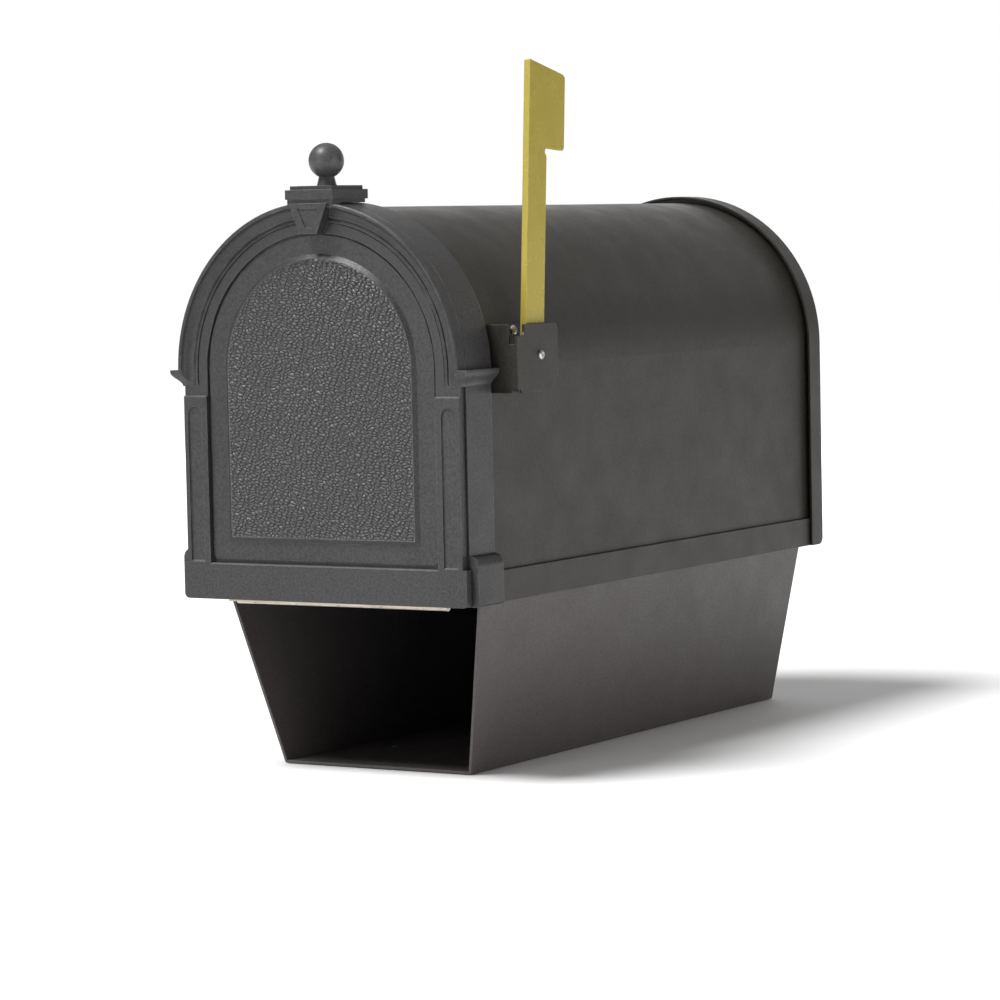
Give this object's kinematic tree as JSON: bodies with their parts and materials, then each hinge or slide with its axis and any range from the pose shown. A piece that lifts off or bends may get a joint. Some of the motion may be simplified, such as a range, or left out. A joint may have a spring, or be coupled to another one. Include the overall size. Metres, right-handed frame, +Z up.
{
  "type": "curbside mailbox",
  "caption": "Arched curbside mailbox with a pull-down front door on a piano hinge, a turning side flag and an open newspaper tube underneath.",
  "frame": {"origin": "centre of the four mounting holes, on the underside of the newspaper tube's floor", "axes": "+Z up, +Y from the door to the rear, +X to the side that carries the flag"},
  "size_m": [0.2513, 0.5342, 0.4822],
  "materials": {
    "body_paint": "satin powder coat",
    "tube_paint": "satin powder coat",
    "cast_paint": "fine textured powder coat on cast aluminium",
    "hinge_steel": "plated",
    "plated_steel": "zinc plated",
    "fastener": "zinc plated",
    "magnet": "ferrite",
    "flag_paint": "satin gold paint"
  },
  "bodies": {
    "housing": {"body_shell": "body_paint", "floor_pan": "body_paint", "front_collar": "cast_paint", "rear_cover": "body_paint", "paper_tube": "tube_paint", "tube_rear_panel": "tube_paint", "collar_screws": "fastener", "rear_cover_screws": "fastener", "pan_screws": "fastener", "sill_screws": "fastener", "tube_rivets": "fastener", "hinge_frame_leaf": "hinge_steel", "hinge_pin": "hinge_steel", "hinge_frame_screws": "fastener", "catch_bracket": "plated_steel", "catch_magnet": "magnet", "catch_screw": "fastener", "flag_bracket": "body_paint", "bracket_screws": "fastener", "bracket_nuts": "fastener", "flag_pivot_screw": "fastener", "flag_pivot_nut": "fastener", "flag_washers": "fastener"},
    "door": {"door_casting": "cast_paint", "hinge_door_leaf": "hinge_steel", "hinge_door_screws": "fastener", "finial_knob": "cast_paint", "finial_nut": "fastener", "strike_plate": "plated_steel", "strike_screws": "fastener"},
    "flag": {"flag": "flag_paint"}
  },
  "joints": [
    {"name": "door_hinge", "type": "hinge", "parent": "housing", "child": "door", "pos_m": [0, -0.26, 0.1195], "axis": [1, 0, 0], "range_deg": [0, 105]},
    {"name": "flag_pivot", "type": "hinge", "parent": "housing", "child": "flag", "pos_m": [0.1247, -0.1985, 0.2849], "axis": [-1, 0, 0], "range_deg": [0, 86]}
  ]
}
